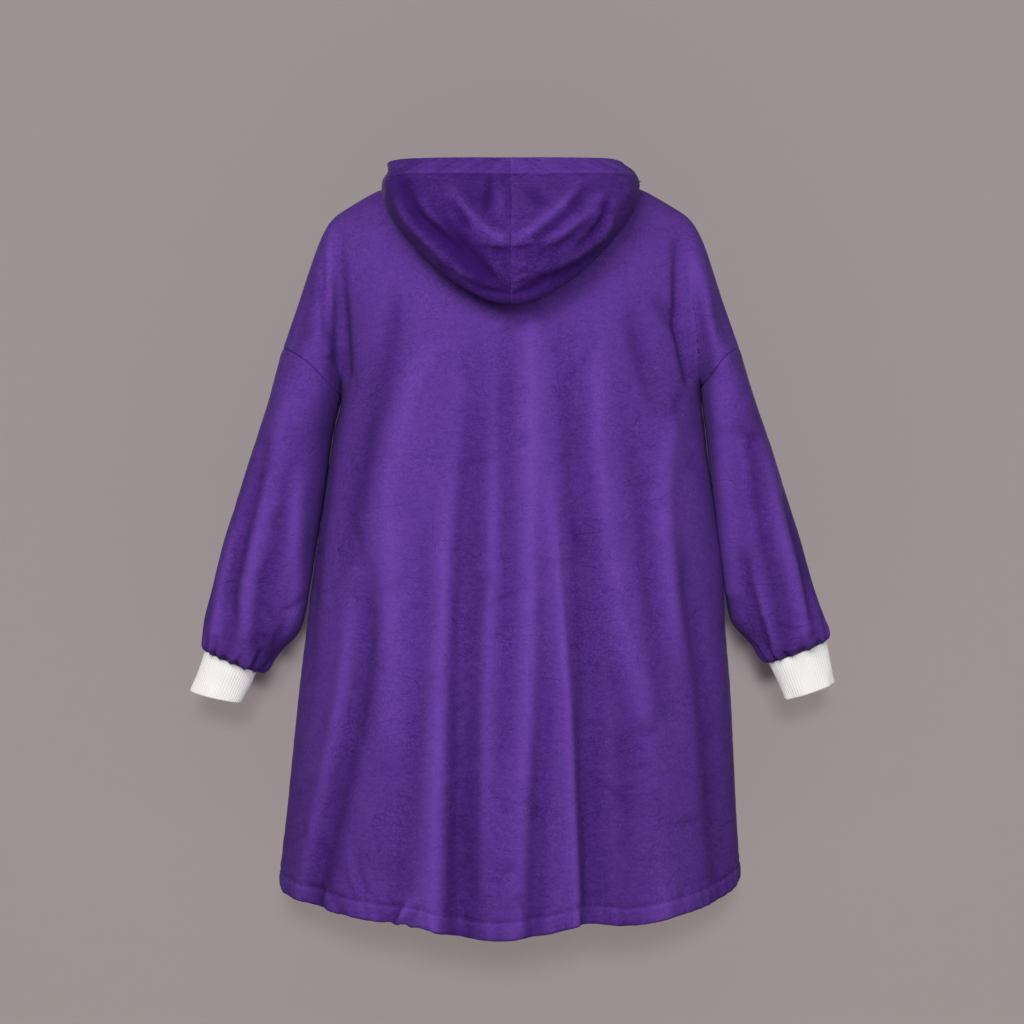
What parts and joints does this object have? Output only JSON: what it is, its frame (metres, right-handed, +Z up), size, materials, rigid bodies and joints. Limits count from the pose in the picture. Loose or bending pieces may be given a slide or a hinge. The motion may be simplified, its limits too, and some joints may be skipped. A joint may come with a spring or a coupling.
{
  "type": "wearable blanket hoodie",
  "caption": "Oversized hooded fleece pullover, filled out as worn and open at neck, hem and cuffs, with drop-shoulder sleeves and white rib cuffs.",
  "frame": {"origin": "base of the neck on the shoulder line, where the wearer's shoulders hold the garment up", "axes": "+Z up, +X to the wearer's right, +Y to the wearer's front, so the back of the garment faces -Y"},
  "size_m": [0.8175, 0.3957, 0.9427],
  "materials": {
    "purple_fleece": "soft brushed flannel fleece with a short crushed pile",
    "white_rib_knit": "matte white rib knit"
  },
  "bodies": {
    "root": {"back": "purple_fleece", "front": "purple_fleece", "sleeve_left": "purple_fleece", "sleeve_right": "purple_fleece", "cuff_left": "white_rib_knit", "cuff_right": "white_rib_knit", "hood_left": "purple_fleece", "hood_right": "purple_fleece"}
  },
  "joints": []
}
